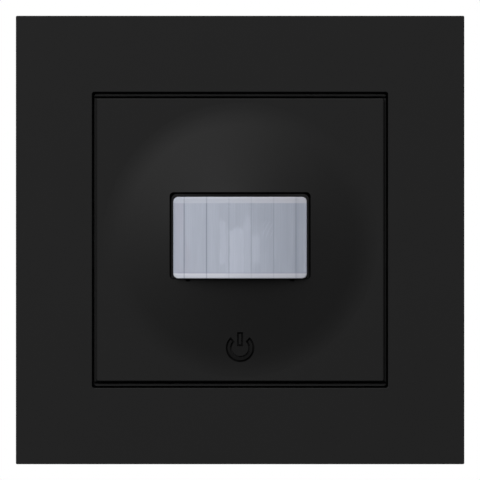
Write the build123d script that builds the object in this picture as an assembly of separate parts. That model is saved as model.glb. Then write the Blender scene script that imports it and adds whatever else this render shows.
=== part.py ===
from build123d import *
from math import cos, hypot, radians, sin, sqrt, tan
import os

# Motion sensor light switch for a flush wall box, in millimetres.
# Seen from the room, X runs to the right and Z runs up. Y runs into the wall.
# The origin is the middle of the support ring's back face, which lies on the wall.

# Cover frame
frame_border = 14.3
frame_plate = 2.2
frame_skirt = 2.2
frame_corner_radius = 0.25
frame_edge_radius = 0.15
opening_side = 55.4
opening_corner_radius = 0.4
opening_edge_radius = 0.15
collar_wall = 1.4
collar_gap = 0.3
ledge_width = 1.6
ledge_thickness = 1.2
screw_bay_width = 9.0
screw_bay_depth = 3.0
screw_bay_reach = 3.9
bay_ridge_length = 11.0
bay_ridge_thickness = 1.0
bay_ridge_gap = 0.08
frame_rib_thickness = 1.2
frame_rib_height = 4.6
frame_rib_place = 18.0

# Support ring
ring_border = 7.8
ring_thickness = 1.4
ring_corner_cut = 9.0
ring_opening_side = 34.0
ring_opening_radius = 6.0
box_screw_outset = 2.3
box_slot_length = 4.4
box_slot_radius = 1.75
level_slot_length = 10.0
level_slot_radius = 1.75

# Countersunk screws of the ring and of the sensor module
ring_screw_inset = 4.5
ring_screw_radius = 1.25
ring_screw_head_radius = 2.3
ring_screw_head_height = 1.2
ring_screw_length = 6.5
module_screw_inset = 3.0
module_screw_radius = 0.9
module_screw_head_radius = 1.7
module_screw_head_height = 0.8
module_screw_length = 3.8
screw_slot_width = 0.5
screw_slot_depth = 0.45
screw_flush_gap = 0.05
thread_gap = 0.05
screw_tip_room = 0.5
screw_boss_wall = 1.1

# Module housing, which carries the lens and the push cover
module_gap = 0.35
module_rear_gap = 0.3
module_wall = 1.2
module_corner_radius = 0.5
lip_wall = 0.4
lip_recess = 1.0
tray_depth = 2.6
deck_thickness = 1.0
deck_to_board = 1.8
light_opening_width = 22.6
light_opening_height = 12.9
board_post_radius = 1.2
board_post_side_inset = 10.1
board_post_end_inset = 3.1

# Push cover with its shallow cone
cover_side_step = 0.35
cover_flange_width = 0.3
cover_flange_setback = 0.7
cover_top_gap = 0.4
cover_bottom_gap = 0.5
cover_plate = 1.5
cover_corner_radius = 0.4
cover_edge_radius = 0.2
cover_skirt = 1.0
cover_skirt_depth = 1.2
cone_border = 3.3
cone_slope = 11.0
cone_blend_radius = 21.0
window_side_gap = 0.35
window_top_gap = 0.35
window_sill_gap = 0.14
window_corner_radius = 0.8
sill_notch_spacing = 19.5
sill_notch_width = 0.8
sill_notch_reach = 0.4
press_angle = 1.2

# Hinge and latches of the push cover
pivot_inset = 3.85
pivot_behind_deck = 0.6
hinge_stub_radius = 0.9
hinge_stub_gap = 0.05
hinge_stub_reach = 1.0
hinge_ear_radius = 1.7
hinge_ear_thickness = 1.3
hinge_ear_gap = 0.25
hinge_ear_room = 0.35
latch_spacing = 28.0
latch_width = 3.2
latch_arm = 1.1
latch_barb = 0.8
latch_barb_thickness = 0.55
latch_gap = 0.05
latch_slot_gap = 0.2

# Standby symbol, sunk in the push cover with a deeper groove along the edges of its strokes
symbol_inset = 6.25
symbol_ring_radius = 2.11
symbol_stroke = 1.12
symbol_groove_depth = 0.8
symbol_groove_width = 0.35
symbol_floor_depth = 0.1
symbol_gap_angle = 41.0
symbol_bar_width = 1.12
symbol_bar_top = 2.95
symbol_bar_bottom = 0.3

# Lens and its bezel
lens_z = 0.43
lens_width = 25.0
lens_height = 15.25
lens_corner_radius = 0.9
lens_wall = 0.8
lens_rise = 5.1
lens_curve_radius = 30.0
lens_rim_radius = 0.5
lens_flange_width = 0.8
lens_flange_thickness = 0.6
lens_segment_pitch = 4.18
lens_segment_lines = 6
lens_line_width = 0.15
lens_line_depth = 0.12
bezel_clearance = 0.05
bezel_side_wall = 0.3
bezel_end_wall = 0.5
bezel_rise = 1.6
bezel_sill_gap = 0.3
bezel_foot_width = 1.8
bezel_foot_thickness = 1.0
bezel_corner_radius = 1.0
bezel_peg_radius = 0.5
bezel_peg_gap = 0.05

# Back plate of the sensor module
back_plate_thickness = 1.2
back_plate_gap = 0.15
board_pad_height = 0.3
board_pad_radius = 1.5
hook_width = 6.0
hook_thickness = 1.2
hook_barb = 0.7
hook_barb_length = 1.2
hook_gap = 0.1

# Sensor board and what is soldered to it
sensor_board_side_gap = 1.9
sensor_board_end_gap = 3.1
sensor_board_thickness = 1.2
board_notch_gap = 0.3
sensor_can_radius = 4.1
sensor_can_height = 4.2
sensor_can_wall = 0.35
sensor_flange_radius = 4.6
sensor_flange_thickness = 0.5
filter_opening_width = 4.0
filter_opening_height = 3.0
filter_overlap = 0.5
filter_thickness = 0.4
element_width = 3.0
element_height = 2.0
element_thickness = 0.8
sensor_lead_radius = 0.225
sensor_lead_circle_radius = 2.54
sensor_lead_turns = (45, 135, 225)
lead_hole_gap = 0.05
lead_stub = 0.2
side_device_spacing = 18.0
light_sensor_radius = 1.5
light_sensor_height = 2.2
light_sensor_edge = 0.3
lamp_radius = 1.5
lamp_height = 2.6
lamp_dome_radius = 1.3
control_chip_width = 7.0
control_chip_height = 5.3
control_chip_thickness = 1.2
control_chip_inset = 9.5
control_chip_legs = 7
supply_chip_width = 4.9
supply_chip_height = 3.9
supply_chip_thickness = 1.4
supply_chip_x = 10.8
supply_chip_z = 14.2
supply_chip_legs = 4
chip_leg_pitch = 0.9
chip_leg_width = 0.35
chip_leg_reach = 0.9
chip_leg_thickness = 0.2
small_part_length = 1.6
small_part_width = 0.8
small_part_thickness = 0.6
small_part_pitch = 2.6
small_part_count = 5
small_part_inset = 5.9

# Push switch under the symbol
switch_body_side = 6.0
switch_body_height = 2.4
plunger_radius = 1.6
plunger_gap = 0.06
plunger_rise = 2.1
plunger_sunk = 0.8
plunger_room = 0.1
plunger_touch_gap = 0.08
press_boss_radius = 2.0
switch_deck_gap = 0.3

# Setting dials for time and light level
dial_inset = 3.4
dial_z = 0.43
dial_case_side = 6.0
dial_case_height = 1.7
dial_radius = 2.2
dial_gap = 0.08
dial_seat_depth = 1.0
dial_length = 2.2
dial_slot_width = 0.6
dial_slot_depth = 0.7
dial_deck_gap = 0.3

# Return springs under the push cover
spring_inset = 5.65
spring_z = -11.0
spring_radius = 1.5
spring_wire_radius = 0.175
spring_half_turns = 10
spring_end_gap = 0.05
spring_well_gap = 0.25
spring_well_wall = 0.5
spring_well_to_board = 0.3
spring_seat_radius = 2.0
spring_peg_height = 0.8
spring_peg_gap = 0.3

# Plug connection between the sensor module and the insert
header_z = 10.0
pin_columns = 4
pin_rows = 2
pin_pitch = 2.54
pin_side = 0.64
pin_cavity_gap = 0.08
pin_stub = 0.4
header_length = 2.0
header_opening_gap = 0.3
pin_reach = 3.6
socket_wall = 0.3
socket_front_gap = 0.9
socket_cavity_room = 0.5

# Insert housing and lid
insert_radius = 26.5
insert_rear_gap = 1.6
insert_wall = 1.6
insert_floor = 1.8
insert_flat_cut = 2.9
insert_edge_radius = 1.0
lid_thickness = 1.4
lid_front = 2.2
lid_step = 0.4
lid_gap = 0.15
lid_opening_gap = 0.3
lid_post_radius = 1.4
lid_post_inset = 2.9
lid_post_angle = 30.0
board_rib_reach = 1.9
board_rib_thickness = 1.2
board_rib_turns = (-20, 20, 60, 120, 160, 200)
power_board_front = 6.5
power_board_thickness = 1.6
power_board_gap = 0.2
ring_boss_to_board = 0.3
wire_radius = 1.5

# Terminals
terminal_pitch = 7.6
cage_width = 5.6
cage_side_wall = 0.7
cage_end_wall = 1.1
cage_length = 5.0
cage_guide_gap = 0.15
cage_travel = 2.5
cage_end_gap = 0.25
wire_room = 3.0
strip_width = 3.6
strip_thickness = 0.8
strip_slot_gap = 0.05
strip_floor_gap = 0.3
strip_tip_gap = 0.05
terminal_screw_radius = 1.5
terminal_head_radius = 2.0
terminal_head_height = 1.5
terminal_head_recess = 0.35
terminal_head_gap = 0.15
terminal_slot_width = 0.6
terminal_slot_depth = 0.7
terminal_wall = 0.9
terminal_front_wall = 1.5

# Parts on the power board
relay_width = 20.3
relay_height = 10.3
relay_depth = 14.5
relay_x = -3.0
relay_z = -4.6
relay_edge_radius = 0.6
electrolytic_radius = 4.0
electrolytic_depth = 12.0
electrolytic_x = 14.0
electrolytic_z = -5.0
electrolytic_groove_depth = 0.3
electrolytic_groove_width = 0.8
electrolytic_groove_place = 2.2
line_capacitor_width = 13.0
line_capacitor_height = 6.0
line_capacitor_depth = 11.0
line_capacitor_x = 10.5
line_capacitor_z = 5.2
fuse_radius = 4.2
fuse_depth = 7.8
fuse_x = -16.5
fuse_z = 6.6
choke_radius = 4.0
choke_core_radius = 2.8
choke_flange = 1.2
choke_depth = 9.0
choke_x = -6.6
choke_z = 7.0
varistor_radius = 4.5
varistor_thickness = 3.6
varistor_standoff = 1.0
varistor_lead_radius = 0.4
varistor_lead_spacing = 5.0
varistor_x = 0.0
varistor_z = 15.0
rectifier_width = 7.0
rectifier_height = 6.0
rectifier_depth = 2.8
rectifier_x = -10.0
rectifier_z = 15.2
body_edge_radius = 0.4

# One overrun serves all cuts.
overrun = 1.0

# Places along Y, from the room to the wall
ring_front = -ring_thickness
back_plate_front = ring_front - back_plate_thickness
board_back = back_plate_front - board_pad_height
board_front = board_back - sensor_board_thickness
deck_back = board_front - deck_to_board
deck_front = deck_back - deck_thickness
deck_middle = (deck_front + deck_back) / 2
cover_underside = deck_front - tray_depth
room_face = cover_underside - cover_plate
cover_root = room_face + cover_plate / 2
pivot_y = deck_front + pivot_behind_deck
lip_front = room_face + lip_recess
collar_back = ring_front - collar_gap
ledge_front = collar_back - ledge_thickness
frame_plate_back = room_face + frame_plate
lid_back = lid_front + lid_thickness
power_board_back = power_board_front + power_board_thickness
insert_depth = insert_floor + insert_rear_gap + relay_depth + power_board_back
insert_floor_front = insert_depth - insert_floor

# Sides of the frame, the ring, the module and the cover
frame_side = opening_side + 2 * frame_border
ring_side = opening_side + 2 * ring_border
box_screw_spacing = opening_side + 2 * box_screw_outset
module_side = opening_side - 2 * module_gap
module_rear_side = opening_side - 2 * (ledge_width + module_rear_gap)
module_inner_side = module_side - 2 * module_wall
module_rear_inner_side = module_rear_side - 2 * module_wall
step_front = ledge_front - module_wall
cover_width = module_side - 2 * cover_side_step
cover_top = module_side / 2 - lip_wall - cover_top_gap
cover_bottom = lip_wall + cover_bottom_gap - module_side / 2
cone_radius = cover_width / 2 - cone_border
symbol_z = cover_bottom + symbol_inset
pivot_z = module_side / 2 - pivot_inset
press_turn = radians(press_angle)
side_wall_front = cover_underside + (pivot_z - cover_bottom) * press_turn + latch_slot_gap
ear_outer = module_inner_side / 2 - hinge_ear_gap
ear_inner = ear_outer - hinge_ear_thickness

# Lens, bezel and window, worked outwards from the lens
bezel_inner_width = lens_width + 2 * bezel_clearance
bezel_inner_height = lens_height + 2 * bezel_clearance
bezel_width = bezel_inner_width + 2 * bezel_side_wall
bezel_height = bezel_inner_height + 2 * bezel_end_wall
window_width = bezel_width + 2 * window_side_gap
window_top = lens_z + bezel_height / 2 + window_top_gap
window_bottom = lens_z - lens_height / 2 - window_sill_gap
window_height = window_top - window_bottom
window_z = (window_top + window_bottom) / 2
lens_front = room_face - lens_rise
bezel_front = room_face - bezel_rise
bezel_foot_front = deck_front - bezel_foot_thickness

# The latch arms hang from the cover's bottom skirt.
latch_bottom = cover_bottom + cover_skirt - latch_gap
latch_top = latch_bottom + latch_arm

# Sensor board and what stands on it
sensor_board_width = module_rear_inner_side - 2 * sensor_board_side_gap
sensor_board_height = module_rear_inner_side - 2 * sensor_board_end_gap
board_post_x = sensor_board_width / 2 - board_post_side_inset
board_post_z = sensor_board_height / 2 - board_post_end_inset
control_chip_z = control_chip_inset - sensor_board_height / 2
small_part_z = sensor_board_height / 2 - small_part_inset
dial_x = sensor_board_width / 2 - dial_inset
spring_x = module_inner_side / 2 - spring_inset

# Push switch, spring wells and screw bosses
switch_front = board_front - switch_body_height
plunger_front = switch_front - plunger_rise
plunger_travel = (pivot_z - symbol_z) * press_turn
well_radius = spring_radius + spring_wire_radius + spring_well_gap
well_back = board_front - spring_well_to_board
well_floor = well_back - spring_well_wall
module_boss_radius = module_screw_radius + thread_gap + screw_boss_wall
module_screw_place = module_rear_inner_side / 2 - module_screw_inset
module_screw_head = ring_front - screw_flush_gap
module_screw_tip = module_screw_head - module_screw_length
ring_screw_head = ring_front + screw_flush_gap
ring_screw_tip = ring_screw_head + ring_screw_length
ring_boss_radius = ring_screw_radius + thread_gap + screw_boss_wall

# Insert, from its wall inwards
insert_inner_radius = insert_radius - insert_wall
insert_flat = insert_radius - insert_flat_cut
ring_screw_x = insert_radius - ring_screw_inset
lid_radius = insert_inner_radius - lid_gap
board_zone_radius = insert_inner_radius - lid_step
power_board_radius = board_zone_radius - power_board_gap
lid_post_circle_radius = insert_inner_radius - lid_post_inset
flat_inner = insert_flat - insert_wall

# Terminals, stacked upwards from the flat underside of the insert
head_bottom = terminal_head_recess - insert_flat
head_top = head_bottom + terminal_head_height
cage_bottom = head_top + cage_end_gap + cage_travel
strip_bottom = cage_bottom + cage_end_wall + cage_end_gap
strip_top = strip_bottom + strip_thickness
cage_ceiling = strip_top + wire_room
cage_top = cage_ceiling + cage_end_wall
wire_z = strip_top + wire_room / 2
cage_back = insert_floor_front - cage_guide_gap
cage_front = cage_back - cage_length
terminal_y = (cage_front + cage_back) / 2
block_front = cage_front - cage_guide_gap - terminal_front_wall
block_top = cage_top + cage_guide_gap + terminal_wall
chamber_width = cage_width + 2 * cage_guide_gap
terminal_names = ("line", "neutral", "load")


# A box between two corners
def block(left, right, front, back, bottom, top):
    middle = Pos((left + right) / 2, (front + back) / 2, (bottom + top) / 2)
    return middle * Box(right - left, back - front, top - bottom)


# A box on the left or the right side, from |x| = inner to |x| = outer
def side_block(side, inner, outer, front, back, bottom, top):
    left, right = sorted((side * inner, side * outer))
    return block(left, right, front, back, bottom, top)


# A flat outline, drawn as seen from the room, given depth from front to back
def slice_of(outline, front, back, x=0, z=0):
    return Pos(x, back, z) * extrude(Plane.XZ * outline, back - front)


# A plain or rounded rectangle as seen from the room
def slab(width, height, front, back, corner=0, x=0, z=0):
    outline = RectangleRounded(width, height, corner) if corner else Rectangle(width, height)
    return slice_of(outline, front, back, x, z)


# A round bar along Y
def rod(radius, front, back, x=0, z=0):
    return slice_of(Circle(radius), front, back, x, z)


# A round bar along Z
def upright(radius, bottom, top, x, y):
    return Pos(x, y, bottom) * extrude(Circle(radius), top - bottom)


# A round bar along X on one side, from |x| = inner to |x| = outer
def side_bar(side, radius, inner, outer, y, z):
    left, right = sorted((side * inner, side * outer))
    return Pos(left, y, z) * extrude(Plane.YZ * Circle(radius), right - left)


# A countersunk head on a shank along Y, from the head's face to the tip, in either direction
def countersunk(radius, head_radius, head_height, head_y, tip_y, x, z):
    into = 1 if tip_y > head_y else -1
    neck_y = head_y + into * head_height / 2
    head = Pos(x, neck_y, z) * (Rot(-90 * into, 0, 0) * Cone(head_radius, radius, head_height))
    front, back = sorted((neck_y, tip_y))
    return head + rod(radius, front, back, x, z)


# Screws with a driver slot, as one group
def slotted_screws(radius, head_radius, head_height, head_y, tip_y, places):
    screws = []
    into = 1 if tip_y > head_y else -1
    for x, z in places:
        front, back = sorted((head_y - into * overrun, head_y + into * screw_slot_depth))
        slot = slab(2 * head_radius + overrun, screw_slot_width, front, back, x=x, z=z)
        screws.append(countersunk(radius, head_radius, head_height, head_y, tip_y, x, z) - slot)
    return Compound(children=screws)


# Four places, mirrored left to right and top to bottom
def four_places(x, z, middle_z=0):
    return [(side * x, middle_z + end * z) for side in (-1, 1) for end in (-1, 1)]


# Rounds the edges that lie at one depth
def round_at(body, depth, radius, keep=lambda edge: True):
    edges = [e for e in body.edges() if on_depth(e, depth) and keep(e)]
    return fillet(edges, radius)


def on_depth(edge, depth):
    box = edge.bounding_box()
    return max(abs(box.min.Y - depth), abs(box.max.Y - depth)) < thread_gap / 2


def ring_screw_places():
    return [(side * ring_screw_x, 0) for side in (-1, 1)]


def module_screw_places():
    return four_places(module_screw_place, module_screw_place)


def board_post_places():
    return four_places(board_post_x, board_post_z)


def peg_places():
    x = (bezel_width + bezel_foot_width) / 2
    z = (bezel_height + bezel_foot_width) / 2
    return four_places(x, z, lens_z)


def make_cover_frame():
    collar_side = opening_side + 2 * collar_wall
    inner_side = frame_side - 2 * frame_skirt
    root = room_face + frame_plate / 2
    body = slab(frame_side, frame_side, room_face, 0, frame_corner_radius)
    body = round_at(body, room_face, frame_edge_radius)
    body -= slab(inner_side, inner_side, frame_plate_back, overrun)
    body += slab(collar_side, collar_side, root, collar_back)
    rib_back = frame_plate_back + frame_rib_height
    half = frame_rib_thickness / 2
    for side in (-1, 1):
        near, far = sorted((side * (collar_side - collar_wall) / 2, side * (inner_side + frame_skirt) / 2))
        for along in (-frame_rib_place, frame_rib_place):
            body += block(near, far, root, rib_back, along - half, along + half)
            body += block(along - half, along + half, root, rib_back, near, far)
    body -= slab(opening_side, opening_side, room_face - overrun, ledge_front, opening_corner_radius)
    throat = opening_side - 2 * ledge_width
    body -= slab(throat, throat, ledge_front - overrun, overrun, opening_corner_radius)
    reach = box_screw_spacing + 2 * screw_bay_reach
    bay_front = ring_front - screw_bay_depth
    body -= slab(reach, screw_bay_width, bay_front, 0)
    body -= slab(screw_bay_width, reach, bay_front, 0)
    # A ridge in front of each bay closes the gap round the module
    ridge_front, half_ridge = bay_front - bay_ridge_thickness, bay_ridge_length / 2
    ridge_inner, ridge_outer = module_side / 2 + bay_ridge_gap, (opening_side + collar_wall) / 2
    for side in (-1, 1):
        near, far = sorted((side * ridge_inner, side * ridge_outer))
        body += block(near, far, ridge_front, bay_front, -half_ridge, half_ridge)
        body += block(-half_ridge, half_ridge, ridge_front, bay_front, near, far)
    return round_at(body, room_face, opening_edge_radius, near_opening)


def near_opening(edge):
    middle = edge.center()
    return max(abs(middle.X), abs(middle.Z)) < opening_side / 2 + collar_wall


def make_support_ring():
    outline = chamfer(Rectangle(ring_side, ring_side).vertices(), ring_corner_cut)
    ring = slice_of(outline, ring_front, 0)
    front = ring_front - overrun
    ring -= slab(ring_opening_side, ring_opening_side, front, overrun, ring_opening_radius)
    for side in (-1, 1):
        place = side * box_screw_spacing / 2
        ring -= slice_of(SlotOverall(box_slot_length, 2 * box_slot_radius), front, overrun, x=place)
        ring -= slice_of(SlotOverall(level_slot_length, 2 * level_slot_radius), front, overrun, z=place)
    for x, z in ring_screw_places():
        ring -= ring_screw_hole(overrun, x, z)
    return ring


# A ring screw's hole from the mouth of its countersink to a given depth
def ring_screw_hole(back, x, z):
    head_radius = ring_screw_head_radius + thread_gap
    mouth = rod(head_radius, ring_front - overrun, ring_screw_head, x, z)
    return mouth + countersunk(
        ring_screw_radius + thread_gap, head_radius, ring_screw_head_height, ring_screw_head, back, x, z
    )


def make_ring_screws():
    return slotted_screws(
        ring_screw_radius, ring_screw_head_radius, ring_screw_head_height,
        ring_screw_head, ring_screw_tip, ring_screw_places(),
    )


# Depth of the bare cone's surface at a distance from the middle
def cone_y(distance):
    return room_face - (cone_radius - distance) * tan(radians(cone_slope))


# Half of the cover's face line from the middle outwards, moved towards the wall by a shift
def face_points(shift, reach):
    slope = radians(cone_slope)
    tangent = cone_blend_radius * tan(slope / 2)
    slope_end = cone_radius - tangent * cos(slope)
    middle = cone_radius + tangent - cone_blend_radius * sin(slope / 2)
    middle_rise = cone_blend_radius * (1 - cos(slope / 2))
    return [
        (0, cone_y(0) + shift),
        (slope_end, cone_y(slope_end) + shift),
        (middle, room_face - middle_rise + shift),
        (cone_radius + tangent, room_face + shift),
        (reach, room_face + shift),
    ]


# The round sheet between the face line moved by near and the same line moved by far
def cone_sheet(near, far):
    reach = hypot(cover_width, cover_top - cover_bottom)
    a, b, c, d, e = face_points(near, reach)
    f, g, h, i, j = face_points(far, reach)
    outline = [
        Line(a, b), ThreePointArc(b, c, d), Line(d, e), Line(e, j),
        Line(j, i), ThreePointArc(i, h, g), Line(g, f), Line(f, a),
    ]
    return revolve(make_face(outline), Axis.Y)


# An open ring with a bar in its gap, drawn in from the edges of their strokes by an inset
def standby_symbol(inset):
    outer = symbol_ring_radius + symbol_stroke / 2
    ring = Circle(outer - inset) - Circle(outer - symbol_stroke + inset)
    gap_turn = radians(symbol_gap_angle)
    tip = -inset / sin(gap_turn)
    reach_x = 2 * outer * sin(gap_turn)
    reach_z = 2 * outer * cos(gap_turn) + tip
    wedge = make_face(Polyline((0, tip), (reach_x, reach_z), (-reach_x, reach_z), (0, tip)))
    bar_height = symbol_bar_top - symbol_bar_bottom
    bar_middle = symbol_bar_bottom + bar_height / 2
    bar = Pos(0, bar_middle) * Rectangle(symbol_bar_width - 2 * inset, bar_height - 2 * inset)
    return [ring - wedge, bar]


def make_push_cover():
    height = cover_top - cover_bottom
    middle = (cover_top + cover_bottom) / 2
    front = cone_y(0) - overrun
    back = cover_underside + overrun
    cover = cone_sheet(0, cover_plate) & slab(cover_width, height, front, back, cover_corner_radius, z=middle)
    cover = round_at(cover, room_face, cover_edge_radius, beyond_cone)
    skirt_back = cover_underside + cover_skirt_depth
    cover += block(-ear_outer, ear_outer, cover_root, skirt_back, cover_top - cover_skirt, cover_top)
    cover += block(-ear_outer, ear_outer, cover_root, skirt_back, cover_bottom, cover_bottom + cover_skirt)
    cover -= slab(window_width, window_height, front, back, window_corner_radius, z=window_z)
    for side in (-1, 1):
        x = side * sill_notch_spacing / 2
        left, right = x - sill_notch_width / 2, x + sill_notch_width / 2
        cover -= block(left, right, front, back, window_bottom - sill_notch_reach, window_z)
    groove_skin = cone_sheet(-overrun, symbol_groove_depth)
    floor_skin = cone_sheet(-overrun, symbol_floor_depth)
    for outline, floor in zip(standby_symbol(0), standby_symbol(symbol_groove_width)):
        cover -= slice_of(outline - floor, front, back, z=symbol_z) & groove_skin
        cover -= slice_of(floor, front, back, z=symbol_z) & floor_skin
    flange_front = room_face + cover_flange_setback
    flange_reach = cover_width / 2 + cover_flange_width
    low, high = cover_bottom, cover_top
    for side in (-1, 1):
        cover += side_block(side, ear_outer, flange_reach, flange_front, cover_underside, low, high)
        cover += make_hinge_ear(side)
        cover += make_latch(side)
        x = side * spring_x
        peg_radius = spring_radius - spring_wire_radius - spring_peg_gap
        cover += rod(spring_seat_radius, cover_root, cover_underside, x, spring_z)
        cover += rod(peg_radius, cover_root, cover_underside + spring_peg_height, x, spring_z)
    boss_front = cone_y(-symbol_z) + cover_plate / 2
    return cover + rod(press_boss_radius, boss_front, plunger_front - plunger_touch_gap, z=symbol_z)


def beyond_cone(edge):
    middle = edge.center()
    cone_reach = cone_radius + cone_blend_radius * tan(radians(cone_slope) / 2)
    return hypot(middle.X, middle.Z) > (cone_reach - cover_bottom) / 2


def make_hinge_ear(side):
    low, high = pivot_z - hinge_ear_radius, pivot_z + hinge_ear_radius
    ear = side_block(side, ear_inner, ear_outer, cover_root, pivot_y, low, high)
    ear += side_bar(side, hinge_ear_radius, ear_inner, ear_outer, pivot_y, pivot_z)
    reach = module_inner_side / 2 + hinge_stub_reach
    return ear + side_bar(side, hinge_stub_radius, ear_inner, reach, pivot_y, pivot_z)


# An arm whose barb catches behind the deck
def make_latch(side):
    x = side * latch_spacing / 2
    left, right = x - latch_width / 2, x + latch_width / 2
    barb_front = deck_back + latch_gap
    barb_back = barb_front + latch_barb_thickness
    arm = block(left, right, cover_root, barb_back, latch_bottom, latch_top)
    return arm + block(left, right, barb_front, barb_back, latch_bottom, latch_top + latch_barb)


def make_module_housing():
    body = slab(module_side, module_side, lip_front, ledge_front, module_corner_radius)
    body += slab(module_rear_side, module_rear_side, step_front, ring_front, module_corner_radius)
    # A tray in front of the deck, with thin lips above and below and low walls at the sides
    tray_height = module_side - 2 * lip_wall
    body -= slab(module_inner_side, tray_height, lip_front - overrun, deck_front)
    body -= slab(module_side + overrun, tray_height, lip_front - overrun, side_wall_front)
    # A room behind the deck
    body -= slab(module_inner_side, module_inner_side, deck_back, step_front)
    body -= slab(module_rear_inner_side, module_rear_inner_side, step_front - overrun, ring_front + overrun)
    body -= make_deck_openings()
    for side in (-1, 1):
        x = side * spring_x
        body += rod(well_radius + spring_well_wall, deck_front, well_back, x, spring_z)
        body -= rod(well_radius, deck_front - overrun, well_floor, x, spring_z)
        body -= side_bar(side, hinge_stub_radius + hinge_stub_gap, ear_inner, module_side, pivot_y, pivot_z)
    for x, z in module_screw_places():
        body += rod(module_boss_radius, deck_middle, back_plate_front, x, z)
        hole_front = module_screw_tip - screw_tip_room
        body -= rod(module_screw_radius + thread_gap, hole_front, back_plate_front + overrun, x, z)
    for x, z in board_post_places():
        body += rod(board_post_radius, deck_middle, board_front, x, z)
    return body


def make_deck_openings():
    front, back = deck_front - overrun, deck_back + overrun
    cuts = slab(light_opening_width, light_opening_height, front, back, lens_corner_radius, z=lens_z)
    switch_opening = switch_body_side + 2 * switch_deck_gap
    cuts += slab(switch_opening, switch_opening, front, back, z=symbol_z)
    for x, z in peg_places():
        cuts += rod(bezel_peg_radius + bezel_peg_gap, front, back, x, z)
    ear_low = pivot_z - hinge_ear_radius - hinge_ear_room
    ear_high = pivot_z + hinge_ear_radius + hinge_ear_room
    for side in (-1, 1):
        cuts += rod(dial_radius + dial_deck_gap, front, back, side * dial_x, dial_z)
        ear_room = ear_inner - hinge_ear_room
        cuts += side_block(side, ear_room, module_inner_side / 2, front, back, ear_low, ear_high)
        x = side * latch_spacing / 2
        half = latch_width / 2 + latch_slot_gap
        low, high = latch_bottom - latch_slot_gap, latch_top + latch_slot_gap
        cuts += block(x - half, x + half, front, back, low, high)
    return cuts


# An upright round bar whose face lies behind the lens's front by a setback
def lens_barrel(setback):
    reach = lens_height
    return upright(
        lens_curve_radius - setback, lens_z - reach, lens_z + reach, 0, lens_front + lens_curve_radius
    )


def make_lens():
    front = lens_front - overrun
    lens = slab(lens_width, lens_height, front, deck_front, lens_corner_radius, z=lens_z) & lens_barrel(0)
    rim = [e for e in lens.edges() if on_lens_end(e)]
    lens = fillet(rim, lens_rim_radius)
    flange_width = lens_width + 2 * lens_flange_width
    flange_height = lens_height + 2 * lens_flange_width
    flange_front = deck_front - lens_flange_thickness
    lens += slab(flange_width, flange_height, flange_front, deck_front, lens_corner_radius, z=lens_z)
    hollow_width = lens_width - 2 * lens_wall
    hollow_height = lens_height - 2 * lens_wall
    lens -= slab(hollow_width, hollow_height, front, deck_front + overrun, z=lens_z) & lens_barrel(lens_wall)
    # Upright grooves inside divide the lens into segments.
    low, high = lens_z - hollow_height / 2, lens_z + hollow_height / 2
    half = lens_line_width / 2
    for index in range(lens_segment_lines):
        x = (index - (lens_segment_lines - 1) / 2) * lens_segment_pitch
        inner_y = lens_front + lens_curve_radius - sqrt((lens_curve_radius - lens_wall) ** 2 - x ** 2)
        lens -= block(x - half, x + half, inner_y - lens_line_depth, inner_y + lens_line_depth, low, high)
    return lens


# The long curved edges at the top and bottom of the lens's front
def on_lens_end(edge):
    box = edge.bounding_box()
    flat = box.max.Z - box.min.Z < thread_gap
    return flat and edge.length > lens_width / 2 and box.max.Y < bezel_front


# The bezel's bottom wall stays low, behind the sill of the pressed cover
def make_lens_bezel():
    bezel = slab(bezel_width, bezel_height, bezel_front, deck_front, bezel_corner_radius, z=lens_z)
    sill_corner = hypot(window_width / 2, window_bottom)
    sill_travel = (pivot_z - window_bottom) * press_turn
    sill_front = cone_y(sill_corner) + cover_plate + sill_travel + bezel_sill_gap
    low, high = lens_z - bezel_height, lens_z - lens_height / 2
    bezel -= block(-bezel_width, bezel_width, bezel_front - overrun, sill_front, low, high)
    foot_width = bezel_width + 2 * bezel_foot_width
    foot_height = bezel_height + 2 * bezel_foot_width
    bezel += slab(foot_width, foot_height, bezel_foot_front, deck_front, bezel_corner_radius, z=lens_z)
    front, back = bezel_front - overrun, deck_front + overrun
    bezel -= slab(bezel_inner_width, bezel_inner_height, front, back, lens_corner_radius, z=lens_z)
    recess_width = bezel_inner_width + 2 * lens_flange_width
    recess_height = bezel_inner_height + 2 * lens_flange_width
    recess_front = deck_front - lens_flange_thickness
    bezel -= slab(recess_width, recess_height, recess_front, back, lens_corner_radius, z=lens_z)
    for x, z in peg_places():
        bezel += rod(bezel_peg_radius, bezel_foot_front, deck_back, x, z)
    return bezel


def header_width():
    return pin_columns * pin_pitch


def header_height():
    return pin_rows * pin_pitch


def pin_places():
    first_x = (pin_pitch - header_width()) / 2
    first_z = header_z + (pin_pitch - header_height()) / 2
    columns, rows = range(pin_columns), range(pin_rows)
    return [(first_x + column * pin_pitch, first_z + row * pin_pitch) for column in columns for row in rows]


# Square holes for the header pins
def pin_holes(front, back):
    side = pin_side + 2 * pin_cavity_gap
    return [slab(side, side, front, back, x=x, z=z) for x, z in pin_places()]


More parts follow.
